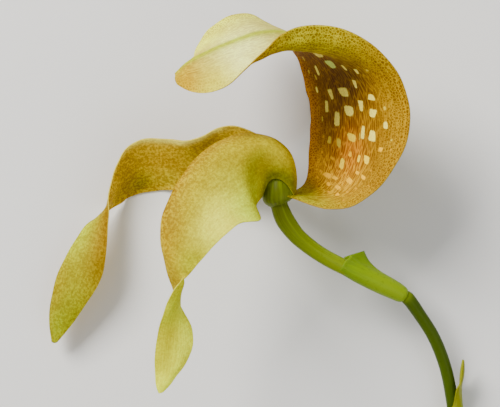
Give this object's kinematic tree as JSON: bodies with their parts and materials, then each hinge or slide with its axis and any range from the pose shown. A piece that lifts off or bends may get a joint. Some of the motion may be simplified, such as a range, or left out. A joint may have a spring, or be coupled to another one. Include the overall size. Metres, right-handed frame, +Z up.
{
  "type": "orchid bloom",
  "caption": "Cut orchid bloom lying on its side, with a deep arched hood, long twisted lateral sepals and a short curved flower stem with a bract.",
  "frame": {"origin": "centre of the footprint's bounding box, on the surface that the flower lies on", "axes": "+Z up from the surface; +Y towards the top of the flower as the picture shows it; +X to the picture's right, towards the back of the hood"},
  "size_m": [0.1078, 0.1132, 0.0457],
  "materials": {
    "hood_gold": "soft satin skin, golden brown with pale windows",
    "sepal_yellow": "soft satin skin, golden yellow to pale lemon",
    "stem_green": "smooth satin green",
    "bract_green": "thin satin lime green",
    "lip_green": "fleshy satin yellow green"
  },
  "bodies": {
    "root": {"pedicel": "stem_green", "scape": "stem_green", "floral_bract": "bract_green", "scape_sheath": "bract_green", "dorsal_sepal": "hood_gold", "near_lateral_sepal": "sepal_yellow", "far_lateral_sepal": "sepal_yellow", "near_petal": "sepal_yellow", "far_petal": "sepal_yellow", "lip": "lip_green", "column": "lip_green"}
  },
  "joints": []
}
